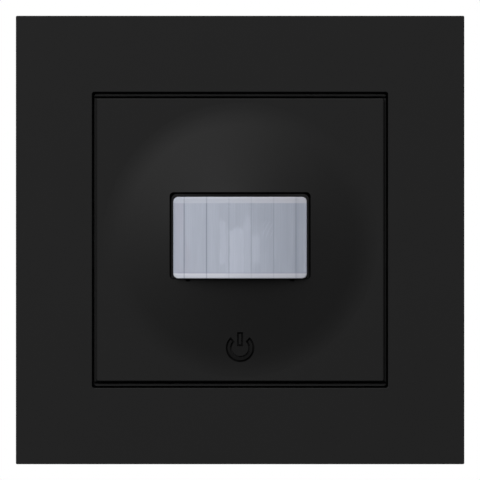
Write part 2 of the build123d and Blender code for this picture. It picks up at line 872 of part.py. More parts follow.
def make_back_plate():
    side = module_rear_inner_side - 2 * back_plate_gap
    plate = slab(side, side, back_plate_front, ring_front, module_corner_radius)
    for x, z in module_screw_places():
        head_radius = module_screw_head_radius + thread_gap
        shank_radius = module_screw_radius + thread_gap
        plate -= rod(head_radius, module_screw_head, ring_front + overrun, x, z)
        plate -= countersunk(
            shank_radius, head_radius, module_screw_head_height,
            module_screw_head, back_plate_front - overrun, x, z,
        )
    for x, z in board_post_places():
        plate += rod(board_pad_radius, board_back, back_plate_front, x, z)
    width = header_width() + 2 * header_opening_gap
    height = header_height() + 2 * header_opening_gap
    plate -= slab(width, height, back_plate_front - overrun, ring_front + overrun, z=header_z)
    root = ring_front - back_plate_thickness / 2
    outer = ring_opening_side / 2 - hook_gap
    inner = outer - hook_thickness
    half = hook_width / 2
    for end in (-1, 1):
        low, high = sorted((end * inner, end * outer))
        plate += block(-half, half, root, hook_gap + hook_barb_length, low, high)
        low, high = sorted((end * inner, end * (outer + hook_barb)))
        plate += block(-half, half, hook_gap, hook_gap + hook_barb_length, low, high)
    return plate


def make_module_screws():
    return slotted_screws(
        module_screw_radius, module_screw_head_radius, module_screw_head_height,
        module_screw_head, module_screw_tip, module_screw_places(),
    )


def sensor_lead_places():
    turns = [radians(turn) for turn in sensor_lead_turns]
    radius = sensor_lead_circle_radius
    return [(radius * cos(turn), lens_z + radius * sin(turn)) for turn in turns]


def make_sensor_board():
    board = slab(sensor_board_width, sensor_board_height, board_front, board_back)
    front, back = board_front - overrun, board_back + overrun
    notch = module_screw_place - module_boss_radius - board_notch_gap
    reach_x, reach_z = sensor_board_width / 2 + overrun, sensor_board_height / 2 + overrun
    for end in (-1, 1):
        low, high = sorted((end * notch, end * reach_z))
        for side in (-1, 1):
            board -= side_block(side, notch, reach_x, front, back, low, high)
    for x, z in sensor_lead_places():
        board -= rod(sensor_lead_radius + lead_hole_gap, front, back, x, z)
    for hole in pin_holes(front, back):
        board -= hole
    return board


def make_sensor_can():
    can_front = board_front - sensor_can_height
    base_front = board_front - sensor_flange_thickness
    can = rod(sensor_can_radius, can_front, board_front, z=lens_z)
    can += rod(sensor_flange_radius, base_front, board_front, z=lens_z)
    can -= rod(sensor_can_radius - sensor_can_wall, can_front + sensor_can_wall, base_front, z=lens_z)
    front, back = can_front - overrun, can_front + sensor_can_wall + overrun
    return can - slab(filter_opening_width, filter_opening_height, front, back, z=lens_z)


def make_sensor_filter():
    front = board_front - sensor_can_height + sensor_can_wall
    width = filter_opening_width + 2 * filter_overlap
    height = filter_opening_height + 2 * filter_overlap
    return slab(width, height, front, front + filter_thickness, z=lens_z)


def make_sensor_element():
    back = board_front - sensor_flange_thickness
    return slab(element_width, element_height, back - element_thickness, back, z=lens_z)


def make_sensor_leads():
    back = board_back + lead_stub
    leads = [rod(sensor_lead_radius, board_front, back, x, z) for x, z in sensor_lead_places()]
    return Compound(children=leads)


# A small round device on the sensor board, rounded at its front
def round_device(radius, height, edge_radius, x):
    front = board_front - height
    return round_at(rod(radius, front, board_front, x, lens_z), front, edge_radius)


# A chip on flat legs along two sides, standing in front of or behind a board
def make_chip(width, height, thickness, legs, board_y, outwards, x, z):
    leg_y = board_y + outwards * chip_leg_thickness
    front, back = sorted((leg_y, leg_y + outwards * thickness))
    chip = slab(width, height, front, back, x=x, z=z)
    front, back = sorted((board_y, board_y + outwards * (chip_leg_thickness + thickness / 2)))
    foot_front, foot_back = sorted((board_y, leg_y))
    for index in range(legs):
        middle = x + (index - (legs - 1) / 2) * chip_leg_pitch
        left, right = middle - chip_leg_width / 2, middle + chip_leg_width / 2
        for end in (-1, 1):
            near, far = z + end * height / 2, z + end * (height / 2 + chip_leg_thickness)
            low, high = sorted((near, far))
            chip += block(left, right, front, back, low, high)
            low, high = sorted((near, z + end * (height / 2 + chip_leg_reach)))
            chip += block(left, right, foot_front, foot_back, low, high)
    return chip


def make_small_parts():
    parts = []
    for index in range(small_part_count):
        x = (index - (small_part_count - 1) / 2) * small_part_pitch
        front = board_front - small_part_thickness
        parts.append(slab(small_part_width, small_part_length, front, board_front, x=x, z=small_part_z))
    return Compound(children=parts)


def make_switch_body():
    body = slab(switch_body_side, switch_body_side, switch_front, board_front, z=symbol_z)
    cavity_back = switch_front + plunger_sunk + plunger_travel + plunger_room
    return body - rod(plunger_radius + plunger_gap, switch_front - overrun, cavity_back, z=symbol_z)


def make_switch_plunger():
    return rod(plunger_radius, plunger_front, switch_front + plunger_sunk, z=symbol_z)


def make_dial_cases():
    cases = []
    front = board_front - dial_case_height
    for side in (-1, 1):
        x = side * dial_x
        case = slab(dial_case_side, dial_case_side, front, board_front, x=x, z=dial_z)
        cases.append(case - rod(dial_radius + dial_gap, front - overrun, front + dial_seat_depth, x, dial_z))
    return Compound(children=cases)


def make_dial(side):
    x = side * dial_x
    back = board_front - dial_case_height + dial_seat_depth
    front = back - dial_length
    slot_back = front + dial_slot_depth
    slot = slab(dial_slot_width, dial_radius, front - overrun, slot_back, x=x, z=dial_z + dial_radius / 2)
    bar = slab(2 * dial_radius, dial_slot_width, front - overrun, slot_back, x=x, z=dial_z)
    return rod(dial_radius, front, back, x, dial_z) - slot - bar


# A round wire on a helix about Y, from the floor of its well to the cover's underside
def make_spring(side):
    back = well_floor - spring_wire_radius - spring_end_gap
    front = cover_underside + spring_wire_radius + spring_end_gap
    pitch = 2 * (back - front) / spring_half_turns
    x = side * spring_x
    print("return spring's least gap to itself:", round(pitch - 2 * spring_wire_radius, 3))
    coil = Helix(pitch, back - front, spring_radius)
    start = coil @ 0
    wire = sweep(Plane(origin=start, z_dir=coil % 0) * Circle(spring_wire_radius), path=coil)
    return Pos(x, back, spring_z) * (Rot(90, 0, 0) * wire)


def make_springs():
    return Compound(children=[make_spring(side) for side in (-1, 1)])


def make_header():
    header = slab(header_width(), header_height(), board_back, board_back + header_length, z=header_z)
    for hole in pin_holes(board_back - overrun, board_back + header_length + overrun):
        header -= hole
    return header


def make_header_pins():
    front = board_front - pin_stub
    back = board_back + header_length + pin_reach
    return Compound(children=[slab(pin_side, pin_side, front, back, x=x, z=z) for x, z in pin_places()])


def make_socket():
    front = board_back + header_length + socket_front_gap
    width = header_width() + 2 * socket_wall
    height = header_height() + 2 * socket_wall
    socket = slab(width, height, front, power_board_front, z=header_z)
    cavity_back = board_back + header_length + pin_reach + socket_cavity_room
    for hole in pin_holes(front - overrun, cavity_back):
        socket -= hole
    return socket


# Everything of the insert above its flat underside, moved in by a margin
def above_flat(margin):
    reach = insert_depth
    return block(-2 * reach, 2 * reach, -reach, 2 * reach, margin - insert_flat, 2 * reach)


def make_insert_housing():
    pot = rod(insert_radius, 0, insert_depth) & above_flat(0)
    pot = round_at(pot, insert_depth, insert_edge_radius)
    room = rod(insert_inner_radius, -overrun, lid_back)
    room += rod(board_zone_radius, lid_back, power_board_back)
    room += rod(insert_inner_radius, power_board_back, insert_floor_front)
    pot -= room & above_flat(insert_wall)
    rib_inner = insert_inner_radius - board_rib_reach
    wall_middle = insert_inner_radius + insert_wall / 2
    for turn in board_rib_turns:
        rib = block(
            rib_inner, wall_middle, power_board_back, insert_floor_front + insert_floor / 2,
            -board_rib_thickness / 2, board_rib_thickness / 2,
        )
        pot += Rot(0, -turn, 0) * rib
    boss_back = power_board_front - ring_boss_to_board
    for x, z in ring_screw_places():
        side = 1 if x > 0 else -1
        pot += rod(ring_boss_radius, 0, boss_back, x, z)
        half = ring_boss_radius / 2
        pot += side_block(side, ring_screw_x, wall_middle, 0, boss_back, -half, half)
        pot -= rod(ring_screw_radius + thread_gap, -overrun, ring_screw_tip + screw_tip_room, x, z)
    access_radius = terminal_head_radius + terminal_head_gap
    for index in range(len(terminal_names)):
        x = terminal_x(index)
        pot -= rod(wire_radius, insert_floor_front - overrun, insert_depth + overrun, x, wire_z)
        pot -= upright(access_radius, -insert_radius, -flat_inner + overrun, x, terminal_y)
    return pot


def lid_post_places():
    x = lid_post_circle_radius * cos(radians(lid_post_angle))
    z = lid_post_circle_radius * sin(radians(lid_post_angle))
    return four_places(x, z)


# Notches for the ring screws' bosses
def boss_notches(front, back):
    reach = ring_boss_radius + board_notch_gap
    notches = []
    for x, z in ring_screw_places():
        side = 1 if x > 0 else -1
        opening = side_block(side, abs(x), insert_radius, front, back, -reach, reach)
        notches.append(rod(reach, front, back, x, z) + opening)
    return notches


def make_insert_lid():
    lid = rod(lid_radius, lid_front, lid_back) & above_flat(insert_wall + lid_gap)
    width = header_width() + 2 * (socket_wall + lid_opening_gap)
    height = header_height() + 2 * (socket_wall + lid_opening_gap)
    front, back = lid_front - overrun, lid_back + overrun
    lid -= slab(width, height, front, back, z=header_z)
    for notch in boss_notches(front, back):
        lid -= notch
    for x, z in lid_post_places():
        lid += rod(lid_post_radius, 0, power_board_front, x, z)
    return lid


def make_power_board():
    board = rod(power_board_radius, power_board_front, power_board_back)
    return board & above_flat(insert_wall + power_board_gap)


def terminal_x(index):
    return (index - (len(terminal_names) - 1) / 2) * terminal_pitch


def make_terminal_block():
    half_width = terminal_x(len(terminal_names) - 1) + chamber_width / 2 + terminal_wall
    body = block(-half_width, half_width, block_front, insert_floor_front, -flat_inner, block_top)
    chamber_front = cage_front - cage_guide_gap
    chamber_top = cage_top + cage_guide_gap
    for index in range(len(terminal_names)):
        left, right = terminal_x(index) - chamber_width / 2, terminal_x(index) + chamber_width / 2
        body -= block(left, right, chamber_front, insert_floor_front + overrun, -insert_flat, chamber_top)
        half = strip_width / 2 + strip_slot_gap
        body -= block(
            terminal_x(index) - half, terminal_x(index) + half, block_front - overrun, cage_back,
            strip_bottom - strip_slot_gap, strip_top + strip_slot_gap,
        )
    return body


def make_contact_strip(x):
    half = strip_width / 2
    back = insert_floor_front - strip_floor_gap
    return block(x - half, x + half, power_board_back, back, strip_bottom, strip_top)


def make_clamp_cage(x):
    half = cage_width / 2
    cage = block(x - half, x + half, cage_front, cage_back, cage_bottom, cage_top)
    inner = half - cage_side_wall
    floor = cage_bottom + cage_end_wall
    cage -= block(x - inner, x + inner, cage_front - overrun, cage_back + overrun, floor, cage_ceiling)
    thread_radius = terminal_screw_radius + thread_gap
    return cage - upright(thread_radius, cage_bottom - overrun, floor + overrun, x, terminal_y)


def make_terminal_screw(x):
    head = upright(terminal_head_radius, head_bottom, head_top, x, terminal_y)
    shank = upright(terminal_screw_radius, head_top, strip_bottom - strip_tip_gap, x, terminal_y)
    reach = terminal_head_radius + overrun
    half = terminal_slot_width / 2
    slot = block(
        x - reach, x + reach, terminal_y - half, terminal_y + half,
        head_bottom - overrun, head_bottom + terminal_slot_depth,
    )
    return head + shank - slot


# A boxy part on the back of the power board
def board_box(width, height, depth, x, z, edge_radius):
    back = power_board_back + depth
    return round_at(slab(width, height, power_board_back, back, x=x, z=z), back, edge_radius)


def make_electrolytic():
    back = power_board_back + electrolytic_depth
    can = rod(electrolytic_radius, power_board_back, back, electrolytic_x, electrolytic_z)
    can = round_at(can, back, body_edge_radius)
    groove_front = power_board_back + electrolytic_groove_place
    groove_back = groove_front + electrolytic_groove_width
    outer = rod(electrolytic_radius + overrun, groove_front, groove_back, electrolytic_x, electrolytic_z)
    core_radius = electrolytic_radius - electrolytic_groove_depth
    return can - (outer - rod(core_radius, groove_front, groove_back, electrolytic_x, electrolytic_z))


def make_fuse():
    back = power_board_back + fuse_depth
    return round_at(rod(fuse_radius, power_board_back, back, fuse_x, fuse_z), back, body_edge_radius)


def make_choke():
    back = power_board_back + choke_depth
    choke = rod(choke_core_radius, power_board_back, back, choke_x, choke_z)
    choke += rod(choke_radius, power_board_back, power_board_back + choke_flange, choke_x, choke_z)
    return choke + rod(choke_radius, back - choke_flange, back, choke_x, choke_z)


def make_varistor():
    middle_y = power_board_back + varistor_standoff + varistor_radius
    half = varistor_thickness / 2
    disc = upright(varistor_radius, varistor_z - half, varistor_z + half, varistor_x, middle_y)
    disc = fillet(disc.edges().filter_by(GeomType.CIRCLE), body_edge_radius)
    for side in (-1, 1):
        x = varistor_x + side * varistor_lead_spacing / 2
        disc += rod(varistor_lead_radius, power_board_back, middle_y, x, varistor_z)
    return disc


def make_pieces():
    pieces = {
        "cover_frame": make_cover_frame(),
        "push_cover": make_push_cover(),
        "lens": make_lens(),
        "lens_bezel": make_lens_bezel(),
        "module_housing": make_module_housing(),
        "module_back_plate": make_back_plate(),
        "module_screws": make_module_screws(),
        "return_springs": make_springs(),
        "sensor_board": make_sensor_board(),
        "heat_sensor_can": make_sensor_can(),
        "heat_sensor_filter": make_sensor_filter(),
        "heat_sensor_element": make_sensor_element(),
        "heat_sensor_leads": make_sensor_leads(),
        "light_sensor": round_device(
            light_sensor_radius, light_sensor_height, light_sensor_edge, -side_device_spacing / 2
        ),
        "status_lamp": round_device(lamp_radius, lamp_height, lamp_dome_radius, side_device_spacing / 2),
        "push_switch_body": make_switch_body(),
        "push_switch_plunger": make_switch_plunger(),
        "dial_cases": make_dial_cases(),
        "time_dial": make_dial(-1),
        "light_level_dial": make_dial(1),
        "control_chip": make_chip(
            control_chip_width, control_chip_height, control_chip_thickness, control_chip_legs,
            board_front, -1, 0, control_chip_z,
        ),
        "small_board_parts": make_small_parts(),
        "header_block": make_header(),
        "header_pins": make_header_pins(),
        "support_ring": make_support_ring(),
        "ring_screws": make_ring_screws(),
        "insert_housing": make_insert_housing(),
        "insert_lid": make_insert_lid(),
        "power_board": make_power_board(),
        "header_socket": make_socket(),
        "relay": board_box(relay_width, relay_height, relay_depth, relay_x, relay_z, relay_edge_radius),
        "electrolytic_capacitor": make_electrolytic(),
        "line_capacitor": board_box(
            line_capacitor_width, line_capacitor_height, line_capacitor_depth,
            line_capacitor_x, line_capacitor_z, body_edge_radius,
        ),
        "fuse": make_fuse(),
        "choke": make_choke(),
        "varistor": make_varistor(),
        "rectifier": board_box(
            rectifier_width, rectifier_height, rectifier_depth, rectifier_x, rectifier_z, body_edge_radius
        ),
        "supply_chip": make_chip(
            supply_chip_width, supply_chip_height, supply_chip_thickness, supply_chip_legs,
            power_board_back, 1, supply_chip_x, supply_chip_z,
        ),
        "terminal_block": make_terminal_block(),
    }
    for index, name in enumerate(terminal_names):
        x = terminal_x(index)
        pieces["contact_strip_" + name] = make_contact_strip(x)
        pieces["clamp_cage_" + name] = make_clamp_cage(x)
        pieces["terminal_screw_" + name] = make_terminal_screw(x)
    return pieces


os.makedirs("parts", exist_ok=True)
for node, solid in make_pieces().items():
    export_step(solid, "parts/" + node + ".step")
print("hinge axis at y", pivot_y, "z", round(pivot_z, 3), "plunger travel", round(plunger_travel, 4))
print("terminal y", terminal_y, "wire z", round(wire_z, 3), "cage travel", cage_travel)
print("window from z", round(window_bottom, 3), "to", round(window_top, 3))
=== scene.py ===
from math import cos, pi, radians, sin

import bpy
import numpy as np
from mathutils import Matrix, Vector


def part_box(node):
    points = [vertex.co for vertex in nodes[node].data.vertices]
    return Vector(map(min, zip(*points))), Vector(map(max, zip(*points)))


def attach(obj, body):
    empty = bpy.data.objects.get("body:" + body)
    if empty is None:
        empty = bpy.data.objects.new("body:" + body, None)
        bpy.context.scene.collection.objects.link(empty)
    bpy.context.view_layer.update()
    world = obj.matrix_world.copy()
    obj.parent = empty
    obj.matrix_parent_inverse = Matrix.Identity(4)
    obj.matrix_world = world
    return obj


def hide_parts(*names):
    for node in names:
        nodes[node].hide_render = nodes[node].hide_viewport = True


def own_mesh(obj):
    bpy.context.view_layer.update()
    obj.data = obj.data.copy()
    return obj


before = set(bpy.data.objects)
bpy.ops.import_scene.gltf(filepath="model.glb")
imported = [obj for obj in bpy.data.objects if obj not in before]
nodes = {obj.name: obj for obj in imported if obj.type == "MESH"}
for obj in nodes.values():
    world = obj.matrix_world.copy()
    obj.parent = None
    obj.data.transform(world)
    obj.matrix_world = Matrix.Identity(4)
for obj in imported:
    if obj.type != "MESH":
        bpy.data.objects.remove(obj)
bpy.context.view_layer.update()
mm = 0.001
print("frame loaded:", len(nodes), "nodes")


# Shader sums written as plain expressions: each operator adds one Math node
class Wire:
    def __init__(self, finish, socket):
        self.finish, self.socket = finish, socket

    def sum(self, operation, *terms):
        return self.finish.add("ShaderNodeMath", {"operation": operation}, dict(enumerate(terms)))

    def __add__(self, other): return self.sum("ADD", self, other)
    def __radd__(self, other): return self.sum("ADD", other, self)
    def __sub__(self, other): return self.sum("SUBTRACT", self, other)
    def __rsub__(self, other): return self.sum("SUBTRACT", other, self)
    def __mul__(self, other): return self.sum("MULTIPLY", self, other)
    def __rmul__(self, other): return self.sum("MULTIPLY", other, self)
    def __truediv__(self, other): return self.sum("DIVIDE", self, other)
    def __lt__(self, other): return self.sum("LESS_THAN", self, other)
    def __gt__(self, other): return self.sum("GREATER_THAN", self, other)
    def __abs__(self): return self.sum("ABSOLUTE", self)

    def fract(self): return self.sum("FRACT", self)
    def floor(self): return self.sum("FLOOR", self)
    def sine(self): return self.sum("SINE", self)
    def root(self): return self.sum("SQRT", self)

    def ramp(self, low, high, atLow=0.0, atHigh=1.0):      # smooth step from low to high
        return self.finish.add("ShaderNodeMapRange", {"interpolation_type": "SMOOTHSTEP"},
                               {0: self, 1: low, 2: high, 3: atLow, 4: atHigh})

    def between(self, low, high, soft):                    # 1 inside low..high, with soft ends
        return self.ramp(low - soft, low + soft) * self.ramp(high - soft, high + soft, 1.0, 0.0)

    def out(self, name): return Wire(self.finish, self.socket.node.outputs[name])


# A material being made, or the nodes of a tree that is there already, such as the world's
class Finish:
    def __init__(self, name, tree=None):
        if tree is None:
            self.material = bpy.data.materials.new(name)
            self.material.use_nodes = True
            tree = self.material.node_tree
        self.tree = tree
        self.tree.nodes.clear()

    # Any node: its type, its settings, then the values or links of its sockets
    def add(self, kind, settings=None, feeds=None, out=0):
        node = self.tree.nodes.new(kind)
        for key, value in (settings or {}).items():
            setattr(node, key, value)
        for key, value in (feeds or {}).items():
            self.feed(node.inputs[key], value)
        return Wire(self, node.outputs[out]) if node.outputs else node

    def feed(self, socket, value):
        if isinstance(value, Wire):
            self.tree.links.new(value.socket, socket)
        elif isinstance(value, tuple) and socket.type == "RGBA" and len(value) == 3:
            socket.default_value = (*value, 1.0)
        else:
            socket.default_value = value

    def place(self, scale=(1, 1, 1)):                      # object coordinates in millimetres, stretched
        spot = self.add("ShaderNodeTexCoord", out="Object")
        return self.add("ShaderNodeMapping", {}, {"Vector": spot, "Scale": tuple(s / mm for s in scale)})

    def axes(self, spot):
        split = self.add("ShaderNodeSeparateXYZ", {}, {"Vector": spot})
        return split.out("X"), split.out("Y"), split.out("Z")

    def noise(self, spot, scale, detail=2.0, rough=0.5):
        return self.add("ShaderNodeTexNoise", {}, {"Vector": spot, "Scale": scale, "Detail": detail,
                                                   "Roughness": rough})

    def cells(self, spot, scale):                          # a colour for each irregular cell
        return self.add("ShaderNodeTexVoronoi", {}, {"Vector": spot, "Scale": scale}, "Color")

    def blend(self, share, low, high):                     # colours by a share from 0 to 1
        return self.add("ShaderNodeMix", {"data_type": "RGBA"}, {0: share, 6: low, 7: high}, 2)

    def bump(self, height, depth):                         # depth in millimetres for height 0..1
        feeds = {"Height": height, "Distance": depth * mm, "Strength": 1.0}
        return self.add("ShaderNodeBump", {}, feeds, "Normal")

    def shell(self, feeds):                                # the finished shader on the surface
        shader = self.add("ShaderNodeBsdfPrincipled", {}, feeds)
        self.add("ShaderNodeOutputMaterial", {}, {"Surface": shader})
        return self.material


def shade(colour, factor):                                 # the same colour, lighter or darker
    return tuple(min(1.0, c * factor) for c in colour)


# Moulded plastic: a fine tool grain over a slow cloud of tone and gloss, with painted shade (a darker tone)
# where the look gives it
def mouldedPlastic(name, look):
    finish = Finish(name)
    colour = look["colour"]
    spot = finish.place()
    cloud = finish.noise(spot, 1 / look["cloudSize"], 3.0)
    grain = finish.noise(spot, 1 / look["grainSize"], 2.0, 0.6)
    tone = finish.blend(cloud, shade(colour, 1 - look["cloud"]), shade(colour, 1 + look["cloud"]))
    # painted shade: the look's mask blends a darker copy of the colour into the tone
    if "paintedShade" in look:
        paintedShade = look["paintedShade"](*finish.axes(spot))
        tone = finish.blend(paintedShade, tone, shade(colour, look["paintedShadeTone"]))
    rough = look["rough"] + (grain - 0.5) * look["roughSpread"] + (cloud - 0.5) * look["roughSpread"]
    return finish.shell({
        "Base Color": tone, "Roughness": rough, "IOR": look.get("ior", 1.46),
        "Specular IOR Level": look.get("gloss", 0.5), "Normal": finish.bump(grain, look["grainDepth"]),
        "Coat Weight": look.get("coat", 0.0), "Coat Roughness": look.get("coatRough", 0.2),
    })


# Sheet steel with a bright zinc coat: rolled lines one way, faint crystals and a few dull clouds
def platedSteel(name, look):
    finish = Finish(name)
    spot = finish.place()
    rolled = finish.noise(finish.place(look["rolling"]), 1.0, 3.0, 0.65)
    crystals = finish.axes(finish.cells(spot, 1 / look["crystalSize"]))[0]
    cloud = finish.noise(spot, 1 / look["cloudSize"], 3.0)
    share = crystals * look["crystalShare"] + rolled * look["rolledShare"] + cloud * look["cloudShare"]
    tone = finish.blend(share, look["dull"], look["bright"])
    rough = look["rough"] + (rolled - 0.5) * look["rolledSpread"] + (cloud - 0.5) * look["cloudSpread"]
    return finish.shell({
        "Base Color": tone, "Metallic": 1.0, "Roughness": rough,
        "Normal": finish.bump(rolled, look["lineDepth"]),
    })


# Epoxy board: green lacquer over copper tracks along a grid, with tinned pads where a cell's number is high
def boardLacquer(name, look):
    finish = Finish(name)
    spot = finish.place()
    x, y, z = finish.axes(spot)
    step = look["grid"]

    def chance(cellsAcross, cellsUp, shiftX=0, shiftZ=0):  # one number from 0 to 1 for each block of cells
        column = (x / (step * cellsAcross)).floor() + shiftX
        row = (z / (step * cellsUp)).floor() + shiftZ
        corner = finish.add("ShaderNodeCombineXYZ", {}, {"X": column, "Y": row})
        return finish.add("ShaderNodeTexWhiteNoise", {"noise_dimensions": "2D"}, {"Vector": corner})

    offX = (x / step).fract() - 0.5
    offZ = (z / step).fract() - 0.5
    across = (abs(offZ) < look["trackWidth"]) * (chance(look["runAcross"], 1) > look["rowsBare"])
    upward = (abs(offX) < look["trackWidth"]) * (chance(1, look["runUp"], shiftX=40) > look["columnsBare"])
    track = across.sum("MAXIMUM", across, upward)
    pad = (offX * offX + offZ * offZ).root() < look["padRadius"]
    pad = pad * (chance(1, 1, shiftZ=90) > look["padsBare"])
    cloud = finish.noise(spot, look["cloudRate"], 3.0)
    green = look["lacquer"]
    lacquer = finish.blend(cloud, shade(green, 1 - look["cloud"]), shade(green, 1 + look["cloud"]))
    lacquer = finish.blend(track, lacquer, look["overTrack"])
    tone = finish.blend(pad, lacquer, look["tin"])
    height = track * look["trackRise"] + pad * look["padRise"]
    rough = look["rough"] + pad * look["padRough"] + (cloud - 0.5) * look["roughSpread"]
    return finish.shell({
        "Base Color": tone, "Metallic": pad * look["padMetal"], "Roughness": rough,
        "Coat Weight": look["coat"], "Coat Roughness": look["coatRough"],
        "Normal": finish.bump(height, look["relief"]),
    })


# Where the push cover's painted shade lies and how strong it is, in millimetres and shares
coverShadeLayout = {
    "symbolZ": -20.2, "inner": 1.5, "outer": 2.7, "soft": 0.05, "gapSlope": 0.74,
    "footFrom": 0.3, "footTo": -1.6, "sideShare": 0.4, "footShare": 0.85,
    "flangeX": 26.71, "flangeShare": 0.8,
}


# Painted shade on the push cover: a darker tone on its symbol's ring, most at the foot, and on the thin
# flange at its sides
def coverPaintedShade(x, y, z):
    m = coverShadeLayout
    z = z - m["symbolZ"]
    radius = (x * x + z * z).root()
    ring = radius.between(m["inner"], m["outer"], m["soft"]) * (z < radius * m["gapSlope"])
    ring = ring * z.ramp(m["footTo"], m["footFrom"], m["footShare"], m["sideShare"])
    return ring + (abs(x) > m["flangeX"]) * m["flangeShare"]


blackFace = {"colour": (0.0123, 0.0123, 0.0124), "cloudSize": 9.0, "cloud": 0.05, "grainSize": 0.16,
             "grainDepth": 0.0015, "rough": 0.5, "roughSpread": 0.04, "gloss": 0.182}
frameLook = mouldedPlastic("matt black frame", blackFace)
# The cover wears painted shade on its symbol's ring and its side flange
coverLook = mouldedPlastic("matt black cover", dict(
    blackFace, cloudSize=7.0, paintedShade=coverPaintedShade, paintedShadeTone=0.45))
bezelLook = mouldedPlastic("black bezel", {
    "colour": (0.0075, 0.0075, 0.008), "cloudSize": 4.0, "cloud": 0.06, "grainSize": 0.2,
    "grainDepth": 0.0015, "rough": 0.42, "roughSpread": 0.06, "gloss": 0.2})
trayLook = mouldedPlastic("black module tray", {
    "colour": (0.0075, 0.0075, 0.008), "cloudSize": 5.0, "cloud": 0.08, "grainSize": 0.22,
    "grainDepth": 0.003, "rough": 0.48, "roughSpread": 0.08, "gloss": 0.25})
plateLook = mouldedPlastic("dark grey back plate", {
    "colour": (0.035, 0.036, 0.038), "cloudSize": 8.0, "cloud": 0.08, "grainSize": 0.25, "grainDepth": 0.004,
    "rough": 0.5, "roughSpread": 0.1})
potLook = mouldedPlastic("light grey insert", {
    "colour": (0.46, 0.465, 0.45), "cloudSize": 10.0, "cloud": 0.04, "grainSize": 0.3, "grainDepth": 0.006,
    "rough": 0.46, "roughSpread": 0.1})
terminalLook = mouldedPlastic("terminal grey", {
    "colour": (0.17, 0.175, 0.18), "cloudSize": 6.0, "cloud": 0.06, "grainSize": 0.2, "grainDepth": 0.004,
    "rough": 0.42, "roughSpread": 0.1})
socketLook = mouldedPlastic("socket black", {
    "colour": (0.014, 0.014, 0.015), "cloudSize": 3.0, "cloud": 0.1, "grainSize": 0.15, "grainDepth": 0.003,
    "rough": 0.4, "roughSpread": 0.1})
dialLook = mouldedPlastic("cream dial", {
    "colour": (0.72, 0.68, 0.56), "cloudSize": 2.0, "cloud": 0.04, "grainSize": 0.15, "grainDepth": 0.002,
    "rough": 0.38, "roughSpread": 0.08})
relayLook = mouldedPlastic("relay case", {
    "colour": (0.018, 0.04, 0.12), "cloudSize": 5.0, "cloud": 0.08, "grainSize": 0.25, "grainDepth": 0.003,
    "rough": 0.3, "roughSpread": 0.08})
lineCapacitorLook = mouldedPlastic("yellow capacitor case", {
    "colour": (0.62, 0.42, 0.05), "cloudSize": 4.0, "cloud": 0.06, "grainSize": 0.2, "grainDepth": 0.003,
    "rough": 0.33, "roughSpread": 0.08})
varistorLook = mouldedPlastic("dipped blue epoxy", {
    "colour": (0.03, 0.10, 0.32), "cloudSize": 1.6, "cloud": 0.14, "grainSize": 0.5, "grainDepth": 0.012,
    "rough": 0.25, "roughSpread": 0.1, "coat": 0.4})
resinLook = mouldedPlastic("chip resin", {
    "colour": (0.016, 0.016, 0.017), "cloudSize": 1.5, "cloud": 0.15, "grainSize": 0.08, "grainDepth": 0.003,
    "rough": 0.55, "roughSpread": 0.12})
sleeveLook = mouldedPlastic("shrink sleeve", {
    "colour": (0.012, 0.016, 0.03), "cloudSize": 3.0, "cloud": 0.1, "grainSize": 0.4, "grainDepth": 0.004,
    "rough": 0.24, "roughSpread": 0.06, "coat": 0.5, "coatRough": 0.1})
ferriteLook = mouldedPlastic("ferrite", {
    "colour": (0.045, 0.043, 0.042), "cloudSize": 1.2, "cloud": 0.2, "grainSize": 0.12, "grainDepth": 0.01,
    "rough": 0.6, "roughSpread": 0.15})
clearLook = mouldedPlastic("water clear resin", {
    "colour": (0.72, 0.74, 0.76), "cloudSize": 2.0, "cloud": 0.03, "grainSize": 0.3, "grainDepth": 0.001,
    "rough": 0.08, "roughSpread": 0.03, "coat": 0.6, "coatRough": 0.03})
filterLook = mouldedPlastic("sensor filter", {
    "colour": (0.02, 0.018, 0.03), "cloudSize": 1.5, "cloud": 0.15, "grainSize": 0.3, "grainDepth": 0.0005,
    "rough": 0.12, "roughSpread": 0.04, "coat": 0.8, "coatRough": 0.04})
zinc = {
    "rolling": (0.05, 0.6, 2.6), "crystalSize": 1.6, "cloudSize": 7.0, "lineDepth": 0.004,
    "dull": (0.44, 0.45, 0.47), "bright": (0.70, 0.71, 0.72), "rough": 0.36,
    "crystalShare": 0.35, "rolledShare": 0.35, "cloudShare": 0.3, "rolledSpread": 0.22, "cloudSpread": 0.16,
}
ringSteel = platedSteel("zinc plated sheet", zinc)
screwSteel = platedSteel("zinc plated screw", dict(
    zinc, rolling=(1.2, 1.2, 1.2), crystalSize=0.5, cloudSize=1.8,
    dull=(0.48, 0.47, 0.42), bright=(0.74, 0.73, 0.68)))
springSteel = platedSteel("spring wire", dict(
    zinc, rolling=(3.0, 3.0, 3.0), crystalSize=0.3, cloudSize=1.0,
    dull=(0.36, 0.36, 0.37), bright=(0.6, 0.6, 0.61), rough=0.28))
canMetal = platedSteel("nickel can", dict(
    zinc, rolling=(0.6, 0.6, 0.6), crystalSize=0.6, cloudSize=2.0,
    dull=(0.55, 0.53, 0.48), bright=(0.74, 0.71, 0.65), rough=0.24))
brassLook = platedSteel("brass strip", dict(
    zinc, rolling=(0.2, 2.5, 0.2), crystalSize=0.7, cloudSize=3.0,
    dull=(0.55, 0.38, 0.16), bright=(0.82, 0.62, 0.30), rough=0.3))
goldLook = platedSteel("gold flash", dict(
    zinc, rolling=(1.5, 0.3, 1.5), crystalSize=0.4, cloudSize=1.0,
    dull=(0.72, 0.50, 0.18), bright=(0.95, 0.75, 0.36), rough=0.22))
